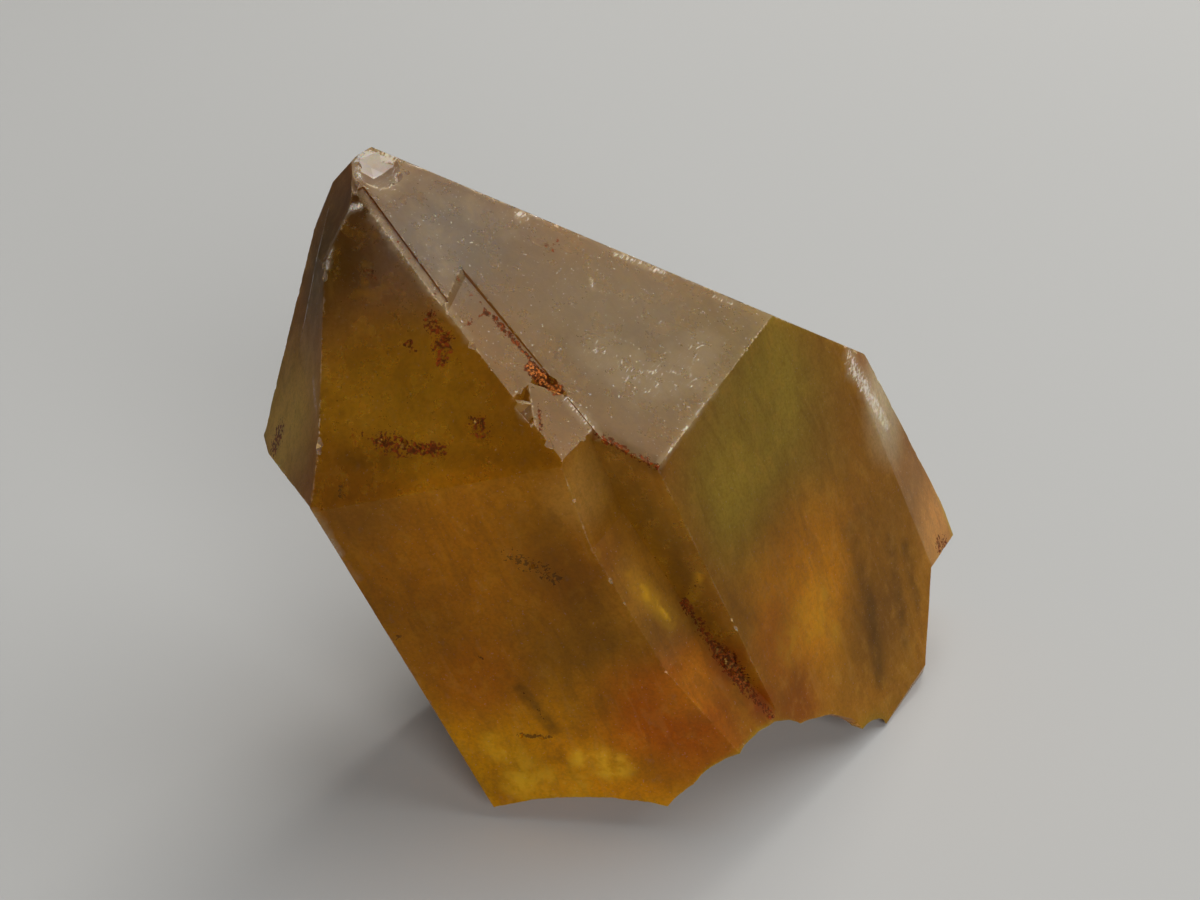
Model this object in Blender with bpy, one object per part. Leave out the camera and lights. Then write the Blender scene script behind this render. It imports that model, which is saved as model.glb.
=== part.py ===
"""Citrine crystal point: one quartz crystal, grown as two parallel steps and broken off at its foot.

The crystal is described as a mineralogist would, face by face. Each face has an azimuth round the c axis,
a tilt of its normal from that axis and a distance from the shoulder, the front corner where the broad prism
face, the ledge beside it and its termination meet. Faces are listed in millimetres and degrees in the
crystal's own axes; the finished bodies are then turned into the leaning stance in which it rests.
"""

import math

import bmesh
import bpy
from mathutils import Matrix, Vector

MM = 0.001

# Stance: the c axis leans off plumb, and the crystal rests on its broken foot.
LEAN = 22.0                 # degrees off plumb
LEAN_TOWARDS = 185.0        # heading of the lean, degrees from +X
SPIN = -4.4                 # turn round the c axis before leaning, degrees
SHOULDER_HEIGHT = 20.1      # mm from the ground to the shoulder
CENTRE = (3.225, 10.91)     # mm from the shoulder to the middle of the footprint

# Quartz geometry: six prism faces and six rhombohedral faces, 60 degrees apart.
AXIAL_RATIO = 1.10
RHOMB_TILT = math.degrees(math.atan(2.0 * AXIAL_RATIO / math.sqrt(3.0)))
BLANK = 100.0               # mm, side of the blank that faces are cut from
BLANK_MORE = 2.0            # mm, so that no two blanks joined together share a side

FRONT, RIGHT, BACK_RIGHT, BACK, BACK_LEFT, LEFT = -90.0, -30.0, 30.0, 90.0, 150.0, -150.0


def prism(azimuth, distance, turn=0.0, lean=0.0):
    """A face along the c axis; turn and lean are its small growth deviations in degrees."""
    return azimuth + turn, 90.0 + lean, distance


def rhomb(azimuth, distance, turn=0.0, lean=0.0):
    """A face of the termination."""
    return azimuth + turn, RHOMB_TILT + lean, distance


# Faces that bound the whole crystal.
FRONT_TIP = rhomb(FRONT, 0.0, turn=2.0, lean=0.9)
FRONT_PRISM = prism(FRONT, 0.0, turn=-2.6, lean=-0.8)
RIGHT_TIP = rhomb(RIGHT, 0.04, turn=-0.2, lean=-1.1)
RIGHT_PRISM = prism(RIGHT, 2.00, turn=1.2, lean=0.7)
LEFT_PRISM = prism(LEFT, 9.67, turn=-0.4, lean=1.4)
BACK_LEFT_TIP = rhomb(BACK_LEFT, 16.79, lean=12.5)
BACK_LEFT_PRISM = prism(BACK_LEFT, 17.94)
BACK_TIP = rhomb(BACK, 17.2)
BACK_PRISM = prism(BACK, 20.5)
BACK_RIGHT_TIP = rhomb(BACK_RIGHT, 9.07, turn=2.7, lean=-1.7)
BACK_RIGHT_PRISM = prism(BACK_RIGHT, 16.8, lean=-10.2)
CHIPPED_CORNER = prism(RIGHT, 6.0, turn=14.0)
BOUNDS = (FRONT_TIP, FRONT_PRISM, RIGHT_TIP, RIGHT_PRISM, LEFT_PRISM, BACK_LEFT_TIP, BACK_LEFT_PRISM,
          BACK_TIP, BACK_PRISM, BACK_RIGHT_TIP, BACK_RIGHT_PRISM, CHIPPED_CORNER)

# Growth step: a low ledge beside the front face, and the risers of the high growth behind it.
# The ledge's prism side bows in three flats, each capped just above where it takes over.
RISER_TIP = (-103.6, 61.0, -1.95)
RISER_PRISM = (-101.7, 93.2, -2.05)
LEDGE_TIP = rhomb(RIGHT, 0.0, turn=-0.2, lean=-1.6)
LEDGE_PRISM = prism(RIGHT, -0.20, turn=-1.0, lean=3.9)
LEDGE_WAIST = prism(RIGHT, -0.88, turn=-1.0, lean=-5.3)
WAIST_CAP = (0.0, 0.0, -2.0)
LEDGE_FLARE = prism(RIGHT, -2.72, turn=-1.0, lean=-14.6)
FLARE_CAP = (0.0, 0.0, -8.0)

# Near the tip the high growth comes forward again, but for a strip beside the front face.
STRIP_RISER = (-105.7, 57.9, 0.33)
STRIP_RAMP = (-24.4, 70.0, -2.52)
STRIP_FOOT = (0.0, 180.0, -4.0)

GROWTH_STEPS = (
    (RISER_TIP, RISER_PRISM),
    (LEDGE_TIP, LEDGE_PRISM),
    (LEDGE_WAIST, WAIST_CAP),
    (LEDGE_FLARE, FLARE_CAP),
    (STRIP_RISER, STRIP_RAMP, STRIP_FOOT),
)

# Left face of the termination and the wedge of growth raised on it.
LEFT_TIP = rhomb(LEFT, 8.32, turn=-0.6, lean=-2.0)
WEDGE_TREAD = rhomb(LEFT, 8.93, turn=-4.4, lean=4.0)
WEDGE_RISER = (-175.0, 53.6, 12.10)
WEDGE_TOP = rhomb(LEFT, 10.06, turn=-4.0, lean=-14.3)
WEDGE_ROOT = (0.0, 90.0, -4.5)
WEDGE_FOOT = (0.0, 180.0, 1.0)

# Chips and breaks, as planes that take a corner off.
TIP_CHIPS = ((-177.5, 43.7, 13.21), (164.5, 26.6, 14.84), (124.2, 16.5, 15.25))
LEFT_CHIP = (-159.3, 76.5, 11.69)
BROKEN_CORNER = (-31.6, 124.6, 15.01)
CHIPS = TIP_CHIPS + (LEFT_CHIP, BROKEN_CORNER)
# Wedges broken out, each beyond one plane and under another: the left edge and the right end.
WEDGES_GONE = (
    ((-154.6, 91.8, 10.08), (-150.4, 103.4, 9.10)),
    ((-3.7, 112.2, 17.13), (-49.4, 151.6, 16.3)),
)
# A shell-shaped spall at the tip: centre and radius in the crystal's axes.
TIP_SPALL = ((-4.04, 9.40, 12.71), 2.0)

# Pits broken into the ledge: three corners on its face and the deepest point, in the crystal's axes.
PITS = (
    ((-0.48, 3.94, 2.87), (-0.83, 3.05, 2.70), (0.31, 3.17, 1.59), (-0.79, 3.41, 2.17)),
    ((-0.90, 2.96, 2.73), (-1.55, 1.96, 2.79), (-0.89, 2.20, 2.25), (-1.30, 2.49, 2.30)),
    ((-1.66, 1.77, 2.79), (-0.90, 2.11, 2.20), (-0.89, 0.97, 1.51), (-1.39, 1.85, 2.09)),
)
PIT_RISE = 1.5              # the pit's cutter reaches past the face by this factor

# Finish of smoky citrine: linear base colour, polish and the refractive index of quartz.
CITRINE_COLOUR = (0.36, 0.17, 0.03, 1.0)
CITRINE_ROUGHNESS = 0.12
QUARTZ_IOR = 1.544

SCOOP_DIVISIONS = 3
# Conchoidal scoops of the broken foot: centre from the shoulder in x and y and from the ground in z,
# radii, and turn about the vertical in degrees, all in the stance.
SCOOPS = (
    ((1.91, 1.00, -1.97), (8.0, 8.0, 3.80), -12.6),
    ((9.00, 1.00, 0.18), (3.88, 5.61, 5.26), -11.5),
    ((10.69, 0.14, -0.82), (9.0, 6.37, 5.62), 51.0),
    ((14.9, 7.7, -1.9), (2.4, 2.4, 3.0), 0.0),
    ((9.0, 6.5, -0.5), (5.5, 6.5, 4.4), 0.0),
    ((13.2, 9.6, -1.0), (3.2, 3.6, 3.0), 0.0),
    ((2.5, 14.5, -3.1), (6.0, 4.4, 4.2), 25.0),
    ((12.5, 20.6, -0.8), (4.6, 2.6, 2.9), 8.0),
    ((-7.6, 11.2, 0.1), (2.6, 3.4, 2.0), -30.0),
)


def normal_of(azimuth, tilt):
    a, t = math.radians(azimuth), math.radians(tilt)
    return Vector((math.sin(t) * math.cos(a), math.sin(t) * math.sin(a), math.cos(t)))


def stance():
    """Crystal axes to world: spin round c, lean, and lift the shoulder to its height."""
    heading = math.radians(LEAN_TOWARDS)
    lean = (Matrix.Rotation(heading, 4, "Z") @ Matrix.Rotation(math.radians(LEAN), 4, "Y")
            @ Matrix.Rotation(-heading, 4, "Z"))
    lift = Matrix.Translation(Vector((-CENTRE[0], -CENTRE[1], SHOULDER_HEIGHT)) * MM)
    return lift @ lean @ Matrix.Rotation(math.radians(SPIN), 4, "Z")


def cut(bm, point, normal):
    """Keeps what is behind the plane and closes the cut."""
    everything = bm.verts[:] + bm.edges[:] + bm.faces[:]
    bmesh.ops.bisect_plane(bm, geom=everything, plane_co=point, plane_no=normal, clear_outer=True)
    rim = [edge for edge in bm.edges if edge.is_boundary]
    if rim:
        bmesh.ops.holes_fill(bm, edges=rim)


def blank(faces, order=0):
    """An oversize convex block behind the faces, still in the crystal's own axes."""
    bm = bmesh.new()
    bmesh.ops.create_cube(bm, size=(BLANK + order * BLANK_MORE) * MM)
    for face in faces:
        cut_face(bm, face)
    return bm


def cut_face(bm, face):
    azimuth, tilt, distance = face
    normal = normal_of(azimuth, tilt)
    cut(bm, normal * distance * MM, normal)


def new_object(name, bm, helper=True):
    bmesh.ops.recalc_face_normals(bm, faces=bm.faces[:])
    mesh = bpy.data.meshes.new(name)
    bm.to_mesh(mesh)
    bm.free()
    obj = bpy.data.objects.new(name, mesh)
    bpy.context.scene.collection.objects.link(obj)
    if helper:
        obj.hide_render = True
        obj.display_type = "WIRE"
    return obj


def joined(name, blocks):
    """The union of convex blocks, as a bmesh; the blocks are removed."""
    objects = [new_object(f"{name}_{index}", bm) for index, bm in enumerate(blocks)]
    for tool in objects[1:]:
        boolean(objects[0], tool, "UNION")
    depsgraph = bpy.context.evaluated_depsgraph_get()
    bm = bmesh.new()
    bm.from_object(objects[0], depsgraph)
    for obj in objects:
        bpy.data.objects.remove(obj, do_unlink=True)
    return bm


def boolean(target, tool, operation):
    modifier = target.modifiers.new(tool.name, "BOOLEAN")
    modifier.operation = operation
    modifier.solver = "EXACT"
    modifier.object = tool


def opposite(face):
    azimuth, tilt, distance = face
    return azimuth + 180.0, 180.0 - tilt, -distance


def scoop(name, centre, radii, turn):
    """An ellipsoid of facets, which leaves the shell-shaped hollow of a conchoidal break."""
    size = Vector(radii) * MM
    matrix = (Matrix.Translation(Vector(centre) * MM) @ Matrix.Rotation(math.radians(turn), 4, "Z")
              @ Matrix.Diagonal(size.to_4d()))
    bm = bmesh.new()
    bmesh.ops.create_icosphere(bm, subdivisions=SCOOP_DIVISIONS, radius=1.0, matrix=matrix)
    return new_object(name, bm)


def pit(name, corners, floor):
    """A three-sided pit, cut by a pyramid that stands on its deepest point."""
    bottom = Vector(floor) * MM
    bm = bmesh.new()
    bm.verts.new(bottom)
    for corner in corners:
        bm.verts.new(bottom + (Vector(corner) * MM - bottom) * PIT_RISE)
    bmesh.ops.convex_hull(bm, input=bm.verts[:])
    bm.transform(stance())
    return new_object(name, bm)


def crystal_material():
    material = bpy.data.materials.new("citrine")
    material.use_nodes = True
    shader = material.node_tree.nodes["Principled BSDF"]
    shader.inputs["Base Color"].default_value = CITRINE_COLOUR
    shader.inputs["Roughness"].default_value = CITRINE_ROUGHNESS
    shader.inputs["IOR"].default_value = QUARTZ_IOR
    return material


def growth_steps():
    """The high growth, the strip and the ledge beside the front face."""
    steps = joined("step", [blank(faces, order) for order, faces in enumerate(GROWTH_STEPS)])
    cut_face(steps, LEFT_TIP)
    return steps


def grown_crystal():
    """The stepped growth, bounded by its faces, leant into its stance and broken level at the ground."""
    wedge = blank((WEDGE_TREAD, WEDGE_RISER, WEDGE_TOP, WEDGE_ROOT, WEDGE_FOOT), len(GROWTH_STEPS))
    growth = joined("growth", [growth_steps(), wedge])
    for face in BOUNDS + CHIPS:
        cut_face(growth, face)
    growth.transform(stance())
    cut(growth, Vector((0.0, 0.0, 0.0)), Vector((0.0, 0.0, -1.0)))
    return new_object("crystal_point", growth, helper=False)


def main():
    for obj in list(bpy.data.objects):
        bpy.data.objects.remove(obj, do_unlink=True)
    crystal = grown_crystal()
    for index, (side, roof) in enumerate(WEDGES_GONE):
        gone = blank((opposite(side), opposite(roof)))
        gone.transform(stance())
        boolean(crystal, new_object(f"wedge_gone_{index}", gone), "DIFFERENCE")
    for index, (centre, radii, turn) in enumerate(SCOOPS):
        place = (centre[0] - CENTRE[0], centre[1] - CENTRE[1], centre[2])
        boolean(crystal, scoop(f"scoop_{index}", place, radii, turn), "DIFFERENCE")
    centre, radius = TIP_SPALL
    place = stance() @ (Vector(centre) * MM) / MM
    boolean(crystal, scoop("tip_spall", place, (radius, radius, radius), 0.0), "DIFFERENCE")
    for index, (*corners, floor) in enumerate(PITS):
        boolean(crystal, pit(f"pit_{index}", corners, floor), "DIFFERENCE")
    crystal.data.materials.append(crystal_material())


main()
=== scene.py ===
"""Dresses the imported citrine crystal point: knocked edges, iron stain and inner haze, in a plain studio."""

import math
import random

import bmesh
import bpy
import numpy as np
from mathutils import Matrix, Vector, bvhtree, geometry, kdtree, noise


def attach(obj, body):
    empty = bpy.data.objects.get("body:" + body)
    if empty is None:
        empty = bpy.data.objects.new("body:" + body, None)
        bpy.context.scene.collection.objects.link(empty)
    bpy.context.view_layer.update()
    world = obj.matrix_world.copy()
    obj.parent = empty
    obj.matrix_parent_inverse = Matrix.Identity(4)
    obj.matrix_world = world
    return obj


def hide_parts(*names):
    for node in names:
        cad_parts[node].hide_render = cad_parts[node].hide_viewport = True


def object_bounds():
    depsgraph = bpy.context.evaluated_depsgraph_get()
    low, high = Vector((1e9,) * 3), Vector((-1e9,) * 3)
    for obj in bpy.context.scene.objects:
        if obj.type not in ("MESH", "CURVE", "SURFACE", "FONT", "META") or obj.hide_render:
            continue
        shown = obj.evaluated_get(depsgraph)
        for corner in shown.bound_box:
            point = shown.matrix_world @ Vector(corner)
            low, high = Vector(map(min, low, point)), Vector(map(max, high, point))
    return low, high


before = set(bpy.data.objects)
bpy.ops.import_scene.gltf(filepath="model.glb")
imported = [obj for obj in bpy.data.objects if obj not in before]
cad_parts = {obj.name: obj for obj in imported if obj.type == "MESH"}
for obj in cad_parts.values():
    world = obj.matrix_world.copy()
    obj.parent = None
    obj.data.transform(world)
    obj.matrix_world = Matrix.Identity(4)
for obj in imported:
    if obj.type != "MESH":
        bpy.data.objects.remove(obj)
CAD_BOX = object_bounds()

bl_info = {
    "name": "Citrine crystal point",
    "version": (1, 0, 0),
    "blender": (4, 5, 0),
    "location": "3D View > Sidebar > Crystal",
    "description": "Builds a smoky citrine point with knocked edges, iron stain and a soft studio",
    "category": "Add Mesh",
}

MM = 0.001
CRYSTAL = "crystal_point"
BODY = "root"

# Places and sizes below are millimetres in the part's frame and angles are degrees, unless a comment says
# otherwise.

# The way the c axis leans, along which the inner veils run.
C_AXIS = (-0.373, -0.033, 0.927)

# Facets: outward normal, how milky the etched skin is, how rough, and how dark the dirt in it, all from 0
# to 1. On the risers that dark is rust with painted shade.
RIGHT_TIP = (0.36, -0.46, 0.81)
FRONT_TIP = (-0.25, -0.81, 0.52)
FACETS = (
    (RIGHT_TIP, 1.0, 0.2, 0.0),
    (FRONT_TIP, 0.40, 0.2, 0.0),
    ((-0.11, -0.99, -0.06), 0.10, 0.3, 0.0),    # front prism face
    ((0.78, -0.55, 0.28), 0.10, 1.0, 0.0),      # right prism face
    ((0.87, -0.35, 0.34), 0.60, 0.8, 0.0),      # bruised right edge
    ((-0.88, -0.34, 0.33), 0.25, 1.0, 0.0),     # left face of the tip
    ((-0.92, -0.31, 0.22), 0.25, 1.0, 0.0),     # wedge on it
    ((-0.82, -0.25, 0.52), 0.20, 1.0, 0.0),     # top of the wedge
    ((-0.23, -0.96, -0.19), 0.10, 0.2, 0.0),    # riser between the ledge and the right prism face
    ((0.78, -0.58, 0.22), 0.50, 0.3, 0.0),      # side of the ledge: top, waist and flare
    ((0.72, -0.58, 0.37), 0.50, 0.3, 0.0),
    ((0.64, -0.57, 0.51), 0.50, 0.3, 0.0),
    # the two risers below are darkened with rust and painted shade
    ((-0.43, -0.85, 0.32), 0.20, 0.3, 0.75),    # riser over the ledge
    ((-0.71, -0.69, -0.08), 0.20, 0.3, 0.75),   # riser over the strip
)
FACET_MATCH = 0.9945        # a normal matches a facet when the cosine between them is above this
PLAIN_SKIN = (0.35, 0.2, 0.0)       # every other face
WEATHERED_SKIN = (1.0, 1.0, 0.0)    # the weathered part of the spalled tip

# The strip of lower growth beside the front of the tip: its width at each end, its depth, and how far its
# cutter reaches past the skin.
STRIP_WIDTHS = (0.34, 0.24)
STRIP_DEPTH = 0.13
STRIP_OVERHANG = 1.0

# Zones of body colour: centre, reach and colour. Each border wavers by a share of the reach, and the
# colour fades out between two shares of it.
ZONE_WAVER = 0.5
ZONE_FADE = (-0.1, 0.8)
ZONES = (
    ((-12.0, -3.6, 27.3), 7.0, "906038"),   # smoke in the tip
    ((-9.2, -9.9, 14.9), 8.0, "c67a0a"),    # middle of the front
    ((-10.4, -7.7, 21.6), 5.0, "c48c1c"),   # yellow cloud behind the front of the tip
    ((-12.5, -9.0, 17.5), 3.5, "945c14"),   # rusty left edge
    ((-3.4, -10.4, 14.5), 3.2, "98580a"),   # smoke beside the ledge
    ((-4.2, -9.8, 2.0), 8.6, "ec9800"),     # gold in the foot, with a painted glow where light gathers
    ((-7.0, -9.4, 3.5), 5.0, "d08a00"),
    ((-7.4, -9.6, 8.6), 3.4, "b06404"),     # amber over the gold
    ((1.4, -10.4, 7.0), 4.8, "b65400"),     # orange in the foot
    ((5.6, -2.2, 19.0), 8.6, "a08a28"),     # olive cloud under the right shoulder
    ((3.8, -5.6, 16.6), 5.6, "a48a24"),
    ((-2.6, -9.9, 18.4), 2.2, "cc9644"),    # side of the ledge
    ((-0.1, -9.7, 13.2), 2.6, "cc8c20"),
    ((2.4, -9.6, 8.4), 2.4, "d07c10"),
    ((3.9, -8.3, 8.6), 1.7, "822e04"),      # rust drawn into the seam
    ((5.6, -8.5, 6.4), 1.4, "8c3604"),
    ((7.8, -3.8, 9.6), 6.4, "da8800"),      # painted gold glow in the right prism face
    ((6.2, -6.6, 8.4), 3.0, "b86400"),
    ((7.4, -6.9, 5.0), 3.0, "8a4602"),
    ((12.6, -0.2, 5.4), 4.2, "80500c"),     # smoke at the right
    ((13.5, 5.7, 14.6), 3.6, "f0dcb0"),     # pale bruised edge
    ((16.4, 6.9, 7.0), 3.4, "e0983c"),
    ((-1.0, -3.9, 23.2), 8.0, "846a3a"),    # right face of the tip: grey gold, partly painted sheen
    ((-8.0, -2.7, 27.0), 5.5, "605c5a"),
    ((-16.2, -3.4, 18.6), 4.8, "f4cc50"),   # left face of the tip, smoky above
    ((-14.0, -2.2, 25.4), 4.2, "4c3e08"),
)

# Ridges are edges sharper than this angle. A blunt one neither chips nor glints: start, end and reach.
RIDGE_ANGLE = 14.0
BLUNT_RIDGES = (
    ((-14.3, -9.5, 16.9), (-3.2, -10.9, 20.1)),
)
BLUNT_REACH = 0.6

# Pits etched or knocked into the faces: place and radius.
PITS = (
    ((-8.5, -6.8, 24.0), 0.34), ((-9.2, -6.1, 24.8), 0.26), ((-10.0, -6.5, 23.7), 0.20),
    ((-8.6, -7.2, 23.3), 0.28), ((-11.8, -4.4, 26.1), 0.24), ((-7.0, -9.0, 21.2), 0.26),
    ((-11.2, -8.5, 20.0), 0.22), ((-10.3, -8.8, 20.0), 0.30), ((-9.6, -9.1, 20.0), 0.26),
    ((-5.7, -10.3, 15.4), 0.20), ((-4.8, -10.4, 14.9), 0.24), ((-4.2, -10.4, 14.5), 0.18),
    ((-5.5, -9.7, 5.3), 0.20), ((-4.6, -9.8, 5.3), 0.24),
    # the rusty seam at the foot of the ledge
    ((3.6, -8.4, 9.0), 0.40), ((4.3, -8.5, 8.1), 0.36), ((3.9, -8.4, 8.5), 0.50),
    # crumbs round the spalled tip and its front corner
    ((-12.4, -0.4, 30.1), 0.24), ((-12.0, 0.0, 30.2), 0.20), ((-11.5, 0.0, 30.0), 0.18),
    ((-12.5, -1.0, 29.8), 0.26), ((-12.5, -1.6, 29.5), 0.24),
    ((-11.0, -1.3, 29.0), 0.16), ((-10.4, -0.5, 29.2), 0.20), ((-12.6, -2.6, 28.4), 0.20),
    ((-12.3, -2.7, 28.5), 0.16),
)

# Iron stain: start, end, radius and strength.
IRON = (
    # the crease across the front of the tip
    ((-12.4, -8.1, 20.1), (-11.2, -8.5, 20.0), 0.35, 0.75),
    ((-11.2, -8.5, 20.0), (-10.2, -8.9, 19.9), 0.50, 0.95),
    ((-10.2, -8.9, 19.9), (-8.6, -9.3, 20.0), 0.36, 1.00),
    # pits in the front of the tip
    ((-8.5, -6.8, 24.0), (-8.6, -7.2, 23.3), 0.45, 0.95),
    ((-9.2, -6.1, 24.8), (-9.0, -6.4, 24.4), 0.35, 0.95),
    ((-10.0, -6.5, 23.7), (-9.9, -6.6, 23.5), 0.22, 1.00),
    ((-11.8, -4.4, 26.1), (-11.7, -4.6, 25.8), 0.30, 0.85),
    ((-7.0, -9.0, 21.2), (-6.8, -9.2, 20.8), 0.40, 0.95),
    # the risers, the crack across the ledge and the pits at its end
    ((-10.7, -3.7, 27.5), (-8.7, -5.8, 25.4), 0.08, 0.90),
    ((-8.0, -4.5, 25.9), (-6.4, -5.6, 24.5), 0.10, 1.00),
    ((-6.4, -5.6, 24.5), (-4.8, -6.9, 23.1), 0.15, 1.15),
    ((-4.8, -7.2, 22.8), (-3.7, -7.7, 22.0), 0.24, 1.60),
    ((-7.6, -6.4, 24.5), (-6.7, -5.4, 24.7), 0.09, 1.10),
    ((-4.6, -7.9, 22.2), (-4.3, -9.8, 21.2), 0.08, 1.10),
    ((-1.9, -9.1, 20.6), (0.6, -9.5, 19.3), 0.22, 0.90),
    # the seam down the side of the ledge
    ((2.5, -8.8, 13.2), (1.9, -8.4, 11.8), 0.15, 0.85),
    ((1.9, -8.4, 11.8), (3.6, -8.4, 9.0), 0.26, 1.00),
    ((3.6, -8.4, 9.0), (4.9, -8.6, 7.3), 0.40, 1.10),
    ((4.9, -8.6, 7.3), (6.1, -8.6, 5.7), 0.26, 1.00),
    # corners
    ((-16.9, -3.0, 16.9), (-16.6, -3.1, 17.6), 0.60, 0.95),
    ((17.0, 7.7, 5.1), (16.6, 6.8, 5.6), 0.60, 0.90),
    # flecks on the right face of the tip
    ((-4.3, -1.3, 26.1), (-4.0, -1.5, 25.9), 0.18, 0.85),
    ((-3.8, -0.8, 26.2), (-3.9, -1.4, 25.8), 0.14, 0.90),
)

# Painted gleams, gold where light comes back up through the body: start, end, radius and strength.
PAINTED_GLEAMS = (
    ((-0.5, -9.9, 14.0), (1.4, -9.3, 11.4), 0.11, 1.2),
    ((-0.3, -9.8, 13.6), (1.4, -9.3, 11.4), 0.32, 0.5),
    ((2.6, -8.9, 13.7), (2.3, -8.5, 11.9), 0.14, 0.9),
    ((-5.6, -9.6, 2.4), (-3.2, -9.8, 2.6), 0.60, 0.8),
    ((-2.4, -9.9, 4.2), (-1.2, -10.0, 3.8), 0.55, 1.1),
    ((-6.6, -9.4, 4.6), (-5.4, -9.6, 3.4), 0.50, 0.6),
    ((8.8, -3.3, 8.6), (7.1, -6.0, 8.1), 0.80, 0.3),
    ((9.4, -3.2, 6.6), (8.6, -4.6, 10.4), 0.50, 0.3),
)

# Shades: clouds inside that hold the light back, and painted shade down the riser below the overhanging
# right face of the tip: start, end, radius and strength.
SHADES = (
    ((10.6, 0.1, 10.5), (11.8, -0.2, 6.6), 0.34, 0.6),
    ((11.8, -0.2, 6.6), (12.4, -1.3, 2.5), 0.36, 0.7),
    ((13.1, 2.6, 8.4), (14.1, 1.3, 3.2), 0.30, 0.6),
    ((14.2, 3.4, 7.6), (14.7, 3.2, 3.6), 0.30, 0.7),
    ((9.2, 1.6, 15.0), (10.2, 1.2, 12.0), 0.40, 0.4),
    ((-5.5, -9.9, 8.1), (-4.0, -9.9, 5.8), 0.22, 0.8),
    ((-12.9, -8.6, 19.2), (-4.0, -10.2, 20.1), 0.30, 0.35),
    ((-4.6, -10.2, 17.0), (-1.8, -10.6, 11.0), 0.60, 0.2),
    # painted shade down the riser under the overhanging right face of the tip
    ((-0.9, -9.0, 18.2), (1.3, -8.9, 14.8), 0.50, 0.5),
    ((1.6, -8.8, 14.0), (3.4, -8.4, 9.8), 0.40, 0.6),
    ((-1.9, -9.1, 20.6), (0.6, -9.5, 19.3), 0.30, 0.9),
    ((-12.8, -2.6, 28.6), (-12.6, -4.6, 26.4), 0.60, 0.7),
    ((-12.4, -2.4, 28.8), (-12.1, -2.9, 28.3), 0.30, 1.2),
)

# Dark mineral specks: start, end, radius and strength.
SPECKS = (
    ((-5.7, -10.3, 15.4), (-4.8, -10.4, 14.9), 0.50, 0.90),
    ((-4.8, -10.4, 14.9), (-3.8, -10.5, 14.3), 0.55, 0.90),
    ((-13.0, -9.1, 18.2), (-12.9, -9.5, 17.7), 0.16, 1.10),
    ((-11.3, -9.6, 13.8), (-11.3, -9.6, 13.6), 0.14, 1.10),
    ((-10.9, -9.4, 10.6), (-10.9, -9.4, 10.5), 0.16, 1.20),
    ((-7.3, -9.8, 9.8), (-7.2, -9.8, 9.7), 0.14, 1.20),
    ((-5.5, -9.9, 8.1), (-4.0, -9.9, 5.8), 0.16, 0.85),
    ((-5.5, -9.7, 5.3), (-4.1, -9.8, 5.3), 0.14, 1.15),
    ((3.3, -8.4, 9.4), (4.6, -8.5, 7.6), 0.30, 0.84),
    ((-4.7, -8.0, 22.2), (-4.8, -8.1, 22.1), 0.16, 1.00),
)

# Scuffs, which are white bruises and scratches on the skin, with a few painted glints and painted light:
# start, end, radius and strength.
SCUFFS = (
    # the bruise inside the lower corner of the right face of the tip
    ((-1.8, -5.2, 22.8), (-0.1, -5.9, 21.7), 1.00, 0.75),
    ((-0.1, -5.9, 21.7), (2.2, -4.5, 21.5), 1.00, 0.80),
    ((2.2, -4.5, 21.5), (2.9, -3.0, 22.0), 0.80, 0.75),
    # bands across its upper part
    ((-10.1, -1.9, 28.3), (-8.2, -4.5, 26.0), 0.50, 0.50),
    ((-9.6, -1.0, 28.6), (-6.1, -1.1, 27.0), 0.60, 0.55),
    # the bruised right edge
    ((10.7, 4.0, 17.8), (13.1, 5.5, 13.8), 0.60, 1.15),
    # the tip, its front corner and the edge below it
    ((-12.4, -0.4, 30.1), (-11.2, -0.1, 29.8), 0.26, 1.50),
    ((-10.8, -0.5, 29.4), (-11.4, -1.8, 29.0), 0.50, 0.85),
    # the weathered left edges of the front
    ((-14.5, -5.3, 21.4), (-14.2, -6.7, 20.5), 0.16, 1.10),
    ((-13.8, -3.8, 26.1), (-13.6, -3.4, 26.7), 0.16, 1.10),
    ((-14.2, -9.5, 17.1), (-13.2, -9.4, 14.9), 0.16, 0.95),
    ((-13.9, -9.4, 15.8), (-12.7, -9.4, 13.6), 0.30, 0.70),
    ((-12.4, -1.6, 29.4), (-12.5, -0.8, 29.9), 0.20, 1.10),
    ((-12.7, -2.6, 28.4), (-12.3, -2.7, 28.5), 0.15, 1.30),
    ((-12.6, -2.6, 28.5), (-13.9, -3.2, 26.3), 0.10, 1.00),
    # whitish scuffing and painted light along the lowered strip, which its step shades
    ((-11.7, -3.0, 28.2), (-8.7, -5.8, 25.4), 0.26, 0.85),
    ((-8.7, -5.8, 25.4), (-7.4, -6.9, 24.1), 0.18, 0.80),
    # scratches and knocks
    ((-2.2, -1.9, 24.8), (-2.0, -2.6, 24.4), 0.10, 1.20),
    # these three on the top edge of the right face of the tip are painted glints
    ((-5.4, -0.3, 27.2), (-5.3, -0.3, 27.1), 0.25, 1.10),
    ((-1.1, -0.3, 25.3), (1.1, -0.2, 24.4), 0.20, 1.00),
    ((3.5, -0.4, 23.2), (4.2, -0.4, 22.9), 0.20, 1.00),
    ((-3.3, -8.0, 21.8), (-1.9, -9.1, 20.6), 0.20, 1.00),
    ((0.7, -9.3, 19.3), (3.3, -4.9, 20.7), 0.14, 0.90),
    ((-5.1, -9.0, 21.7), (-4.9, -9.2, 21.5), 0.22, 0.90),
)

# The gleam marks are painted light.
MARKS = {"iron": IRON, "speck": SPECKS, "scuff": SCUFFS, "gleam": PAINTED_GLEAMS, "shade": SHADES}

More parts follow.
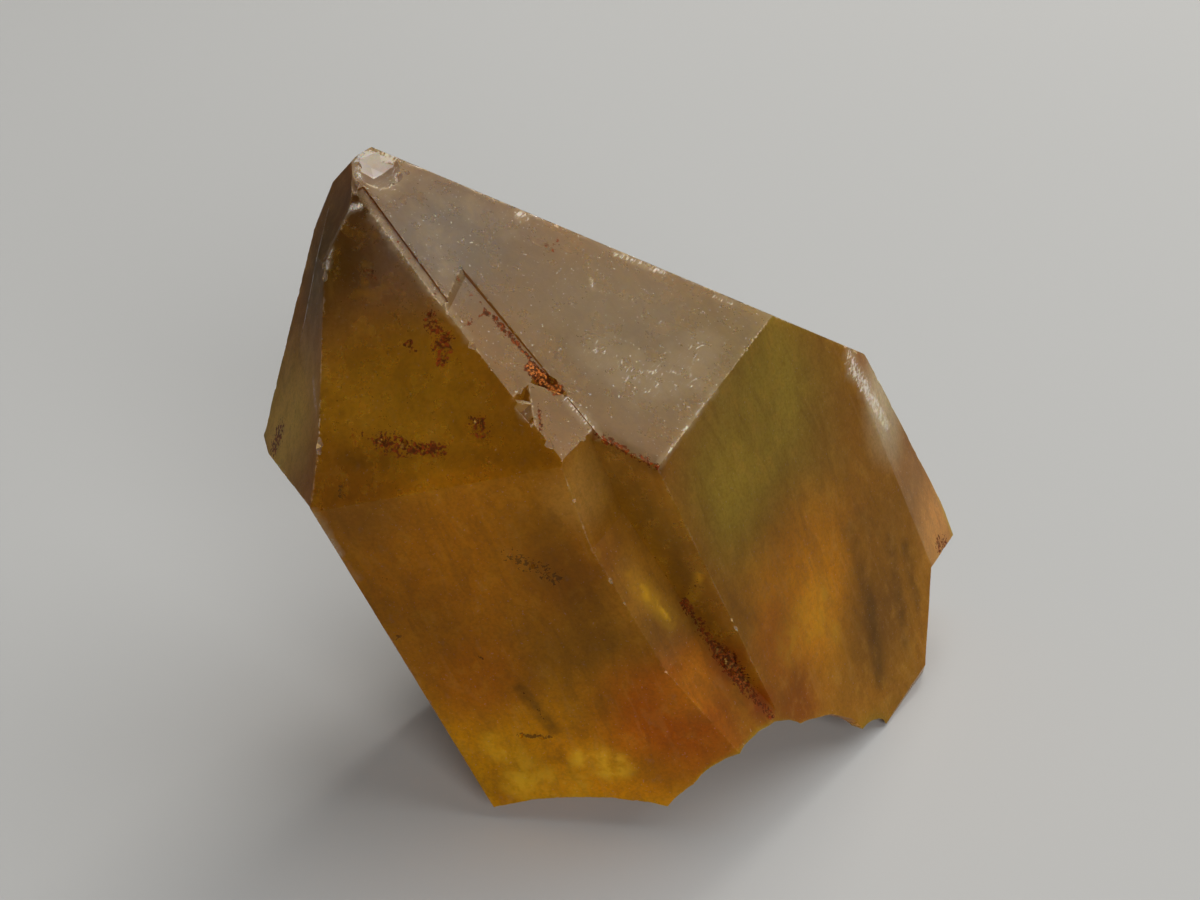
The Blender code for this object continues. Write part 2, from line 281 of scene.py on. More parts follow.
# Noises: size of the grain, detail and roughness.
GRAINS = (
    ("cloud", 5.0, 3.0, 0.50),
    ("patch", 1.6, 2.0, 0.50),
    ("mottle", 0.9, 4.0, 0.60),
    ("crumb", 0.12, 3.0, 0.60),
    ("fine", 0.16, 3.0, 0.65),
    ("dust", 0.11, 1.0, 0.50),
)
# Stretched noises: the way they run, their size across, across and along, and how far they waver.
STREAK_DETAIL, STREAK_ROUGHNESS = 3.0, 0.55
STREAKS = (
    ("veil", C_AXIS, (1.00, 1.00, 3.2), 1.4),
    ("scratch", (0.49, 0.83, 0.26), (0.14, 0.14, 0.7), 1.6),
)

# How the material's masks come from its noises and marks, in order. RANGE eases what lies between low and
# high into start to end, and the rest are sums on masks and numbers. A mark's field is the mark broken up
# by noise.
MASKS = (
    ("mottled", "RANGE", "mottle", 0.35, 0.80, 0.0, 0.3),
    ("motes", "RANGE", "mottle", 0.28, 0.50, 0.30, 0.0),
    ("grained smoke", "RANGE", "fine", 0.34, 0.60, 0.26, 0.0),
    ("dark veils", "RANGE", "veil", 0.32, 0.50, 0.24, 0.0),
    ("bright veils", "RANGE", "veil", 0.54, 0.72, 0.0, 0.14),
    ("frosted", "RANGE", "frost", 0.4, 1.0, 0.0, 0.42),
    ("gleam breaks", "RANGE", "mottle", 0.38, 0.62, 0.15, 0.9),
    ("painted_gleams", "MULTIPLY", "gleam", "gleam breaks"),
    ("shade breaks", "RANGE", "mottle", 0.25, 0.70, 0.32, 0.8),
    ("shades", "MULTIPLY", "shade", "shade breaks"),
    # Pale worn ridges, partly real bruising and partly painted glints, fewer below the tip.
    ("wear field", "MULTIPLY_ADD", "wear", 0.50, "fine"),
    ("wear lines", "RANGE", "wear field", 0.84, 1.02, 0.0, 0.7),
    ("wear breaks", "RANGE", "patch", 0.40, 0.66, 0.0, 1.0),
    ("broken wear", "MULTIPLY", "wear lines", "wear breaks"),
    ("wear by height", "RANGE", "height", 14.0 * MM, 20.0 * MM, 0.08, 1.0),
    ("worn", "MULTIPLY", "broken wear", "wear by height"),
    ("bloom field", "MULTIPLY_ADD", "scuff", 0.6, "mottle"),
    ("bloom", "RANGE", "bloom field", 0.62, 1.10, 0.0, 0.36),
    ("scuff field", "MULTIPLY_ADD", "scuff", 0.46, "scratch"),
    ("scuffs", "RANGE", "scuff field", 0.93, 1.06, 0.0, 1.0),
    ("dust grains", "RANGE", "dust", 0.71, 0.74, 0.0, 1.0),
    ("dust hold", "RANGE", "frost", 0.3, 0.9, 0.15, 0.9),
    ("dusty", "MULTIPLY", "dust grains", "dust hold"),
    # scuffs and chips, with painted glints and the painted reflection on the spalled tip
    ("bruised", "MAXIMUM", "scuffs", "chip"),
    ("whitened", "MAXIMUM", "bruised", "dusty"),
    ("stain", "MAXIMUM", "iron", "speck"),
    ("unstained", "RANGE", "stain", 0.0, 0.4, 0.66, 0.0),
    ("pale", "MULTIPLY", "whitened", "unstained"),
    ("seam breaks", "RANGE", "fine", 0.30, 0.60, 0.55, 0.95),
    ("seam_rust_and_shade", "MULTIPLY", "seam", "seam breaks"),
    ("iron field", "MULTIPLY_ADD", "iron", 0.52, "fine"),
    ("rusty", "RANGE", "iron field", 0.89, 0.99, 0.0, 1.0),
    ("rust breaks", "RANGE", "crumb", 0.45, 0.62, 0.0, 0.85),
    ("rust crumbs", "MULTIPLY", "rusty", "rust breaks"),
    ("fresh rust", "RANGE", "iron", 0.95, 1.30, 0.0, 0.9),
    ("orange crumbs", "MULTIPLY", "rust crumbs", "fresh rust"),
    ("speck field", "MULTIPLY_ADD", "speck", 0.52, "fine"),
    ("specks", "RANGE", "speck field", 0.97, 1.02, 0.0, 0.85),
    ("solid", "MAXIMUM", "rusty", "specks"),
    ("haze", "RANGE", "cloud", 0.3, 0.7, 0.80, 0.66),
    ("frosted haze", "MULTIPLY_ADD", "frost", -0.2, "haze"),
    ("pale or worn", "MAXIMUM", "pale", "worn"),
    # Less clear towards the foot, so that its gold shows brighter there, part of its painted glow.
    ("less clear at the foot", "RANGE", "height", 2.0 * MM, 14.0 * MM, -0.24, 0.0),
    ("footed haze", "ADD", "frosted haze", "less clear at the foot"),
    ("broken haze", "MULTIPLY_ADD", "pale or worn", -0.5, "footed haze"),
    ("unclouded", "SUBTRACT", 1.0, "solid"),
    ("clearness", "MULTIPLY", "broken haze", "unclouded"),
    ("grained", "RANGE", "mottle", 0.3, 0.7, 0.16, 0.24),
    ("etched", "MULTIPLY_ADD", "etch", 0.46, "grained"),
    ("skin", "MULTIPLY_ADD", "chip", -0.16, "etched"),
    ("matt stain", "MULTIPLY", "solid", 0.7),
    ("roughness", "MAXIMUM", "skin", "matt stain"),
)

# What is laid over the body colour, in order: mask and colour.
LAYERS = (
    ("mottled", "7a5010"),
    ("motes", "c48c20"),
    ("grained smoke", "4e2c08"),
    ("dark veils", "5c3a0c"),
    ("bright veils", "c8963c"),
    ("frosted", "968a82"),
    # painted gleams of light
    ("painted_gleams", "ffc428"),
    # inner clouds, and painted shade on the riser
    ("shades", "3a2408"),
    # pale worn ridges, partly painted glints
    ("worn", "cdb498"),
    ("bloom", "c4ae8c"),
    # chips, scuffs and dust, with painted glints and the painted reflection on the spalled tip
    ("pale", "e4e0d8"),
    # rust with painted shade on the risers
    ("seam_rust_and_shade", "7a3c14"),
    ("rusty", "3a1204"),
    ("rust crumbs", "7c2c08"),
    ("orange crumbs", "d07c3a"),
    ("specks", "2a1509"),
)

# What a face of the mesh came from: growth, the part of the spalled tip painted white as a reflection, its
# weathered part, a nick or pit, or the step beside the front of the tip.
KINDS = GROWN, SPALLED, WEATHERED, NICKED, STEPPED = range(5)
SPALL_FACET = 0.2           # square millimetres: facets of the spalled tip are smaller than this
# The spalled tip: its middle, how far its part painted white as a reflection reaches, and how far the whole
# of it reaches.
SPALL_PLACE, SPALL_GLARE, SPALL_REACH = (-11.8, -0.5, 29.6), 0.6, 2.0
# How white each kind of face is painted: the spalled facets as a painted reflection, nicks as pale breaks.
CHIP_WHITENESS_AND_GLARE = {SPALLED: 0.95, NICKED: 0.35}

# The crystal has been knocked most near its tip: below the first height the fewest nicks are left, above the
# second all of them.
KNOCKED_HEIGHTS, FEWEST_NICKS = (13.0, 20.0), 0.25
# Nicks: spread of their count, weight towards small ones, and ranges of the shares of a radius that set
# how far out of the ridge one sits and how long and wide it is. Pits: the same shares.
NICK_COUNTS, NICK_BIAS = (0.6, 1.4), 3
NICK_OUT, NICK_LONG, NICK_WIDE = (0.5, 0.85), (0.8, 1.7), (0.7, 1.2)
PIT_OUT, PIT_LONG, PIT_WIDE = 0.55, (1.0, 1.5), (0.7, 1.0)
# Wear: size of its coarse grain, fine grain and patches. The grain and the patches each set a share of its
# depth: a middle share, how far it sways, and the least share.
WEAR_COARSE, WEAR_FINE, WEAR_PATCH = 0.35, 0.09, 1.3
GRAIN_MIDDLE, COARSE_SWAY, FINE_SWAY, GRAIN_LEAST = 0.5, 0.5, 0.35, 0.12
PATCH_MIDDLE, PATCH_SWAY, PATCH_LEAST = 0.4, 2.0, 0.2
MARK_FADE = 2.0             # a mark fades out at this many radii, and wear at this many widths
LEAST_SQUARE = 1e-12        # square metres, so that a mark of no length divides by something

# Mesh: weld distance in metres, angle under which faces are one flat face, angle over which an edge is
# sharp, place of the first slice as a share of the spacing, growth of mesh edges with distance from a
# ridge, and spacing of the points that stand for the ridges.
WELD = 1e-7
FLAT_ANGLE, SHARP_ANGLE = 0.5, 20.0
FIRST_SLICE = 0.37
MESH_GROWTH = 0.8
RIDGE_STEP = 0.04
SEED = 7

# The point in metres that the lamps face.
LIGHT_AIM = (0.0, 0.0, 0.012)
# Lamps: place in metres, diameter in metres, watts and colour.
LAMPS = (
    ("softbox", (0.31, 0.16, 0.60), 1.00, 4.0, "ffffff"),
    ("key", (0.13, 0.36, 0.40), 0.24, 0.9, "fffaf2"),
    ("front", (0.26, -0.80, 0.34), 0.50, 5.6, "ffffff"),
)
WORLD_COLOUR, WORLD_STRENGTH = "e2e4e6", 0.12
FLOOR_HALF = 2.5            # metres
FLOOR_ROUGHNESS, FLOOR_SHINE = 0.9, 0.2
CAMERA_PLACE = (-1.84, -76.82, 55.9)
CAMERA_TILT = 62.0          # degrees from straight down
LENS, SENSOR = 54.0, 36.0


def linear(code):
    """A colour as sRGB hex, such as "8a6020", in the linear values that shaders use."""
    channels = [int(code[i:i + 2], 16) / 255.0 for i in (0, 2, 4)]
    return tuple(c / 12.92 if c <= 0.04045 else ((c + 0.055) / 1.055) ** 2.4 for c in channels)


def per(size):
    """The scale of a texture whose grain is this many millimetres across."""
    return 1.0 / (size * MM)


def add_node(tree, kind, settings=None, inputs=None, links=None):
    """Adds one shader node: attributes from settings, socket values from inputs, and wires from links."""
    node = tree.nodes.new(kind)
    for name, value in (settings or {}).items():
        setattr(node, name, value)
    for socket, value in (inputs or {}).items():
        node.inputs[socket].default_value = value
    for socket, source in (links or {}).items():
        tree.links.new(source, node.inputs[socket])
    return node


def new_material(name):
    material = bpy.data.materials.new(name)
    material.use_nodes = True
    material.node_tree.nodes.clear()
    return material


def add_object(name, mesh):
    obj = bpy.data.objects.new(name, mesh)
    bpy.context.scene.collection.objects.link(obj)
    return obj


# ---------------------------------------------------------------- material

def noises(tree, place):
    """The noises that break up the marks, make the veils along the c axis and scratch the skin."""
    values = {}
    for name, size, detail, roughness in GRAINS:
        grain = add_node(tree, "ShaderNodeTexNoise", inputs={
            "Scale": per(size), "Detail": detail, "Roughness": roughness}, links={"Vector": place})
        values[name] = grain.outputs["Fac"]
    for name, way, size, wavering in STREAKS:
        turn = Vector(way).to_track_quat("Z", "Y").to_euler()
        along = add_node(tree, "ShaderNodeMapping", {"vector_type": "TEXTURE"}, {
            "Rotation": turn, "Scale": Vector(size) * MM}, {"Vector": place})
        streak = add_node(tree, "ShaderNodeTexNoise", inputs={
            "Scale": 1.0, "Detail": STREAK_DETAIL, "Roughness": STREAK_ROUGHNESS, "Distortion": wavering},
            links={"Vector": along.outputs["Vector"]})
        values[name] = streak.outputs["Fac"]
    return values


def masks(tree, values):
    """Works out every mask in the table from the noises and marks in values, and adds it to them."""
    for name, operation, *operands in MASKS:
        if operation == "RANGE":
            source, low, high, start, end = operands
            node = add_node(tree, "ShaderNodeMapRange", {"interpolation_type": "SMOOTHSTEP"}, {
                "From Min": low, "From Max": high, "To Min": start, "To Max": end}, {"Value": values[source]})
            values[name] = node.outputs["Result"]
        else:
            numbers = {i: value for i, value in enumerate(operands) if not isinstance(value, str)}
            wires = {i: values[value] for i, value in enumerate(operands) if isinstance(value, str)}
            node = add_node(tree, "ShaderNodeMath", {"operation": operation}, numbers, wires)
            values[name] = node.outputs["Value"]


def zoned_colour(tree, place, cloud, body_colour):
    """The body colour, which drifts from zone to zone with wavering borders."""
    colour = None
    inner, outer = ZONE_FADE
    for centre, reach, code in ZONES:
        reach *= MM
        far = add_node(tree, "ShaderNodeVectorMath", {"operation": "DISTANCE"}, {
            1: Vector(centre) * MM}, {0: place})
        wavering = add_node(tree, "ShaderNodeMath", {"operation": "MULTIPLY_ADD"}, {1: -ZONE_WAVER * reach}, {
            0: cloud, 2: far.outputs["Value"]})
        share = add_node(tree, "ShaderNodeMapRange", {"interpolation_type": "SMOOTHSTEP"}, {
            "From Min": inner * reach, "From Max": outer * reach, "To Min": 1.0, "To Max": 0.0}, {
            "Value": wavering.outputs["Value"]})
        mixed = add_node(tree, "ShaderNodeMix", {"data_type": "RGBA"}, {
            6: (*body_colour, 1.0), 7: (*linear(code), 1.0)}, {0: share.outputs["Result"]})
        if colour:
            tree.links.new(colour, mixed.inputs[6])
        colour = mixed.outputs[2]
    return colour


def citrine(settings):
    """Natural smoky citrine with etched growth faces: vitreous but a little frosted, and cloudy inside, so it
    is smoky brown at the tip and gold at the foot, with a painted glow where light gathers there. Knocked
    edges are paler, partly with painted glints, and iron sits in the pits. Painted gleams, sheen and shade
    are laid into the colour as well."""
    material = new_material("citrine_etched_growth_faces")
    tree = material.node_tree
    place = add_node(tree, "ShaderNodeTexCoord").outputs["Object"]
    values = noises(tree, place)
    for name in (*MARKS, "frost", "etch", "seam", "chip", "wear"):
        values[name] = add_node(tree, "ShaderNodeAttribute", {"attribute_name": name}).outputs["Fac"]
    values["height"] = add_node(tree, "ShaderNodeSeparateXYZ", links={"Vector": place}).outputs["Z"]
    masks(tree, values)

    colour = zoned_colour(tree, place, values["cloud"], settings.body_colour)
    for mask, code in LAYERS:
        colour = add_node(tree, "ShaderNodeMix", {"data_type": "RGBA"}, {7: (*linear(code), 1.0)}, {
            0: values[mask], 6: colour}).outputs[2]

    relief = add_node(tree, "ShaderNodeBump", inputs={
        "Strength": settings.etch_strength, "Distance": settings.etch_depth}, links={
        "Height": values["fine"]})
    shader = add_node(tree, "ShaderNodeBsdfPrincipled", inputs={
        "IOR": settings.ior, "Specular IOR Level": settings.shine,
        "Specular Tint": (*settings.skin_tint, 1.0), "Subsurface Weight": settings.glow,
        "Subsurface Radius": settings.glow_reach, "Subsurface Scale": 1.0}, links={
        "Base Color": colour, "Roughness": values["roughness"], "Transmission Weight": values["clearness"],
        "Normal": relief.outputs["Normal"]})
    depth = add_node(tree, "ShaderNodeVolumeAbsorption", inputs={
        "Color": (*settings.depth_colour, 1.0), "Density": settings.depth_density})
    add_node(tree, "ShaderNodeOutputMaterial", links={
        "Surface": shader.outputs["BSDF"], "Volume": depth.outputs["Volume"]})
    return material


# ---------------------------------------------------------------- crystal

def flat_faced_copy():
    """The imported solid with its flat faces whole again, and the facets of its spalled tip marked."""
    bm = bmesh.new()
    bm.from_mesh(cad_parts[CRYSTAL].data)
    bmesh.ops.remove_doubles(bm, verts=bm.verts, dist=WELD)
    bmesh.ops.dissolve_limit(bm, angle_limit=math.radians(FLAT_ANGLE), verts=bm.verts, edges=bm.edges)
    for face in bm.faces:
        small = face.calc_area() < SPALL_FACET * MM * MM
        off = (face.calc_center_median() - Vector(SPALL_PLACE) * MM).length / MM
        if small and off < SPALL_REACH:
            face.material_index = SPALLED if off < SPALL_GLARE else WEATHERED
    return bm


def matches(normal, facet):
    return normal.dot(Vector(facet).normalized()) > FACET_MATCH


def strip_cutter(bm):
    """A long block that lowers a strip of the right face of the tip along its edge with the front face."""
    edges = [edge for edge in bm.edges if len(edge.link_faces) == 2
             and any(matches(face.normal, RIGHT_TIP) for face in edge.link_faces)
             and any(matches(face.normal, FRONT_TIP) for face in edge.link_faces)]
    edge = max(edges, key=lambda edge: edge.calc_length())
    face = next(face for face in edge.link_faces if matches(face.normal, RIGHT_TIP))
    top, bottom = sorted((vert.co for vert in edge.verts), key=lambda co: -co.z)
    across = face.normal.cross(bottom - top).normalized()
    if across.dot(face.calc_center_median() - top) < 0.0:
        across.negate()
    block = bmesh.new()
    for end, width in zip((top, bottom), STRIP_WIDTHS):
        for side in (-STRIP_OVERHANG, width):
            for rise in (-STRIP_DEPTH, STRIP_OVERHANG):
                block.verts.new(end + (across * side + face.normal * rise) * MM)
    bmesh.ops.convex_hull(block, input=block.verts[:])
    for face in block.faces:
        face.material_index = STEPPED
    return block


def keen_ridges(bm):
    """Edges that stand out and are sharp, but for those along a blunt ridge."""
    blunt = [(Vector(start) * MM, Vector(end) * MM) for start, end in BLUNT_RIDGES]
    kept = []
    for edge in bm.edges:
        sharp = edge.calc_face_angle(0.0) > math.radians(RIDGE_ANGLE)
        if len(edge.link_faces) != 2 or not edge.is_convex or not sharp:
            continue
        middle = (edge.verts[0].co + edge.verts[1].co) * 0.5
        nearest = [geometry.intersect_point_line(middle, start, end)[0] for start, end in blunt]
        if min((point - middle).length for point in nearest) > BLUNT_REACH * MM:
            kept.append(edge)
    return kept


def points_along(edges, spacing):
    """A tree of evenly spaced points on the edges, to measure the distance to them by."""
    points = []
    for edge in edges:
        count = max(1, int(edge.calc_length() / spacing))
        points += [edge.verts[0].co.lerp(edge.verts[1].co, (i + 0.5) / count) for i in range(count)]
    tree = kdtree.KDTree(len(points))
    for i, point in enumerate(points):
        tree.insert(point, i)
    tree.balance()
    return tree


def any_axis(dice):
    """A random axis to turn a cutter about."""
    return Vector([dice.uniform(-1.0, 1.0) for _ in range(3)])


def nicks(ridges, settings, dice):
    """Small rough shells that bite the ridges where the crystal has been knocked."""
    bm = bmesh.new()
    smallest, largest = settings.nick_smallest, settings.nick_largest
    low, high = KNOCKED_HEIGHTS
    for edge in ridges:
        outward = (edge.link_faces[0].normal + edge.link_faces[1].normal).normalized()
        count = int(edge.calc_length() / settings.nick_spacing * dice.uniform(*NICK_COUNTS) + dice.random())
        for _ in range(count):
            radius = smallest + (largest - smallest) * dice.random() ** NICK_BIAS
            at = edge.verts[0].co.lerp(edge.verts[1].co, dice.random())
            if dice.random() > max(FEWEST_NICKS, min(1.0, (at.z / MM - low) / (high - low))):
                continue
            centre = at + outward * radius * dice.uniform(*NICK_OUT)
            axis = any_axis(dice)
            stretch = Vector((dice.uniform(*NICK_LONG), dice.uniform(*NICK_WIDE), 1.0, 1.0))
            matrix = (Matrix.Translation(centre) @ Matrix.Rotation(dice.uniform(0.0, math.tau), 4, axis)
                      @ Matrix.Diagonal(stretch))
            bmesh.ops.create_icosphere(bm, subdivisions=1, radius=radius, matrix=matrix)
    return bm


def add_pits(bm, solid, dice):
    """Adds the cutters that sink the pits into the faces they are nearest to."""
    skin = bvhtree.BVHTree.FromBMesh(solid)
    for place, size in PITS:
        point, normal = skin.find_nearest(Vector(place) * MM)[:2]
        radius = size * MM
        turn = Matrix.Rotation(dice.uniform(0.0, math.tau), 4, any_axis(dice))
        stretch = Matrix.Diagonal(Vector((dice.uniform(*PIT_LONG), dice.uniform(*PIT_WIDE), 1.0, 1.0)))
        seat = Matrix.Translation(point + normal * radius * PIT_OUT)
        bmesh.ops.create_icosphere(bm, subdivisions=1, radius=radius, matrix=seat @ turn @ stretch)


def carved(bm, cutters):
    """The solid less the cutters. Each face keeps the material index that says what it came from."""
    marks = [bpy.data.materials.new(f"mark_{index}") for index in KINDS]
    objects = []
    for name, source in (("crystal", bm), ("cutters", cutters)):
        mesh = bpy.data.meshes.new(name)
        source.to_mesh(mesh)
        source.free()
        for mark in marks:
            mesh.materials.append(mark)
        objects.append(add_object(name, mesh))
    cut = objects[0].modifiers.new("cut", "BOOLEAN")
    cut.operation = "DIFFERENCE"
    cut.solver = "EXACT"
    cut.use_self = True
    cut.material_mode = "TRANSFER"
    cut.object = objects[1]
    depsgraph = bpy.context.evaluated_depsgraph_get()
    result = bpy.data.meshes.new_from_object(objects[0].evaluated_get(depsgraph))
    out = bmesh.new()
    out.from_mesh(result)
    for leftover in objects:
        bpy.data.objects.remove(leftover)
    bpy.data.meshes.remove(result)
    bmesh.ops.remove_doubles(out, verts=out.verts, dist=WELD)
    return out


def sliced(bm, spacing):
    """Cuts the mesh by three families of planes, so that its triangles come out even."""
    lowest, highest = CAD_BOX
    for axis in range(3):
        normal = Vector([float(i == axis) for i in range(3)])
        position = lowest[axis] + spacing * FIRST_SLICE
        while position < highest[axis]:
            bmesh.ops.bisect_plane(bm, geom=bm.verts[:] + bm.edges[:] + bm.faces[:], dist=WELD,
                                   plane_co=normal * position, plane_no=normal)
            position += spacing


# For each set of split edges of a triangle: the corner that its pattern starts from.
FIRST_CORNER = {(1, 0, 0): 0, (0, 1, 0): 1, (0, 0, 1): 2, (1, 1, 0): 0, (0, 1, 1): 1, (1, 0, 1): 2,
                (0, 0, 0): 0, (1, 1, 1): 0}


def halved(points, faces, marks, split_edges):
    """Splits the chosen edges of a triangle mesh at their middles. Each case of 1, 2 or 3 split edges has its
    own pattern, so the mesh stays closed."""
    ends = np.sort(faces[:, [[0, 1], [1, 2], [2, 0]]].reshape(-1, 2), axis=1)
    edges, index = np.unique(ends, axis=0, return_inverse=True)
    split = split_edges(points, edges)
    middle = np.full(len(edges), -1)
    middle[split] = len(points) + np.arange(split.sum())
    points = np.concatenate([points, points[edges[split]].mean(axis=1)])
    halfway = middle[index.reshape(-1, 3)]
    new_faces, new_marks = [], []
    for cut, turn in FIRST_CORNER.items():
        rows = np.all((halfway >= 0) == np.array(cut, bool), axis=1)
        order = [(turn + i) % 3 for i in range(3)]
        a, b, c = faces[rows][:, order].T
        ab, bc, ca = halfway[rows][:, order].T
        triangles = (((a, b, c),), ((a, ab, c), (ab, b, c)), ((a, ab, c), (ab, bc, c), (ab, b, bc)),
                     ((a, ab, ca), (ab, b, bc), (ca, bc, c), (ab, bc, ca)))[sum(cut)]
        for triangle in triangles:
            new_faces.append(np.stack(triangle, axis=1))
            new_marks.append(marks[rows])
    return points, np.concatenate(new_faces), np.concatenate(new_marks), bool(split.any())


def refined(bm, ridge_tree, settings):
    """The mesh as arrays, with long edges halved until it is fine at the ridges and moderate on the faces."""
    bmesh.ops.triangulate(bm, faces=bm.faces)
    bm.verts.index_update()
    points = np.array([vert.co for vert in bm.verts])
    faces = np.array([[vert.index for vert in face.verts] for face in bm.faces])
    marks = np.array([face.material_index for face in bm.faces])
    bm.free()
    offs = np.zeros(0)

    def too_long(points, edges):
        nonlocal offs
        offs = np.concatenate([offs, [ridge_tree.find(point)[2] for point in points[len(offs):]]])
        length = np.linalg.norm(points[edges[:, 0]] - points[edges[:, 1]], axis=1)
        off = offs[edges].mean(axis=1)
        return length > np.minimum(settings.mesh_coarse, settings.mesh_fine + MESH_GROWTH * off)

    growing = True
    while growing:
        points, faces, marks, growing = halved(points, faces, marks, too_long)
    return points, faces, marks


def worn(bm, ridge_tree, settings):
    """Wears the ridges back by an uneven hair, so that they glint in short broken lengths. The crystal stays
    within the solid's box."""
    bm.normal_update()
    sizes = (WEAR_COARSE, WEAR_FINE, WEAR_PATCH)
    moves = []
    for vert in bm.verts:
        off = ridge_tree.find(vert.co)[2]
        if off < settings.wear_width:
            fade = 1.0 - off / settings.wear_width
            coarse, fine, patch = (noise.noise(vert.co * per(size)) for size in sizes)
            grain = max(GRAIN_LEAST, GRAIN_MIDDLE + COARSE_SWAY * coarse + FINE_SWAY * fine)
            here = min(1.0, max(0.0, PATCH_MIDDLE + PATCH_SWAY * patch))
            depth = settings.wear_depth * fade * grain * (PATCH_LEAST + (1.0 - PATCH_LEAST) * here)
            moves.append((vert, -vert.normal * depth))
    for vert, move in moves:
        vert.co += move
    lowest, highest = CAD_BOX
    for vert in bm.verts:
        vert.co = [min(max(value, low), high) for value, low, high in zip(vert.co, lowest, highest)]


def nearness(point, marks):
    """How strongly the marks cover this point, which is the most that any one of them does. They are as
    prepared gives them."""
    best = 0.0
    for start, along, squared, radius, strength in marks:
        share = max(0.0, min(1.0, (point - start).dot(along) / squared))
        off = (point - start - along * share).length / radius
        if off < 1.0:
            best = max(best, strength * (1.0 - off * off))
    return best


def prepared(marks):
    """The marks as nearness reads them, in metres: start, way to the end, its square, reach and strength."""
    rows = []
    for start, end, radius, strength in marks:
        start = Vector(start) * MM
        along = Vector(end) * MM - start
        reach = MARK_FADE * radius * MM
        rows.append((start, along, max(along.length_squared, LEAST_SQUARE), reach, strength))
    return rows


def skin_of(normal):
    """How milky, rough and dirty the facet with this normal is."""
    for facet, *skin in FACETS:
        if matches(normal, facet):
            return skin
    return PLAIN_SKIN


def add_attribute(mesh, name, domain, values):
    mesh.attributes.new(name, "FLOAT", domain).data.foreach_set("value", values)


def shaped(settings):
    """The crystal with its strip, nicks and pits, as points, faces and what each face came from, and the tree
    of points along its ridges."""
    dice = random.Random(SEED)
    bm = flat_faced_copy()
    bm = carved(bm, strip_cutter(bm))
    sliced(bm, settings.mesh_blocks)
    bm.normal_update()
    ridges = keen_ridges(bm)
    ridge_tree = points_along(ridges, RIDGE_STEP * MM)
    cutters = nicks(ridges, settings, dice)
    add_pits(cutters, bm, dice)
    for face in cutters.faces:
        face.material_index = NICKED
    bm = carved(bm, cutters)
    return (*refined(bm, ridge_tree, settings), ridge_tree)


def skinned(points, faces, marks, ridge_tree, settings):
    """The mesh with its ridges worn, and on each face the skin of the facet that it belongs to."""
    mesh = bpy.data.meshes.new("citrine_point")
    mesh.from_pydata(points.tolist(), [], faces.tolist())
    bm = bmesh.new()
    bm.from_mesh(mesh)
    bm.normal_update()
    skins = []
    for face, mark in zip(bm.faces, marks):
        skins.append(WEATHERED_SKIN if mark == WEATHERED else skin_of(face.normal))
        face.smooth = mark != SPALLED
    worn(bm, ridge_tree, settings)
    if any(not edge.is_manifold for edge in bm.edges):
        raise RuntimeError("the crystal isn't closed")
    bm.to_mesh(mesh)
    bm.free()
    mesh.set_sharp_from_angle(angle=math.radians(SHARP_ANGLE))
    for name, values in zip(("frost", "etch", "seam"), zip(*skins)):
        add_attribute(mesh, name, "FACE", values)
    add_attribute(mesh, "chip", "FACE", [CHIP_WHITENESS_AND_GLARE.get(mark, 0.0) for mark in marks.tolist()])
    return mesh


def add_marks(mesh, ridge_tree, wear_width):
    """Writes on each vertex how strongly every kind of mark, and the wear of the ridges, covers it."""
    spots = [vert.co.copy() for vert in mesh.vertices]
    for name, rows in MARKS.items():
        rows = prepared(rows)
        add_attribute(mesh, name, "POINT", [nearness(spot, rows) for spot in spots])
    offs = [ridge_tree.find(spot)[2] / (MARK_FADE * wear_width) for spot in spots]
    add_attribute(mesh, "wear", "POINT", [max(0.0, 1.0 - off) for off in offs])


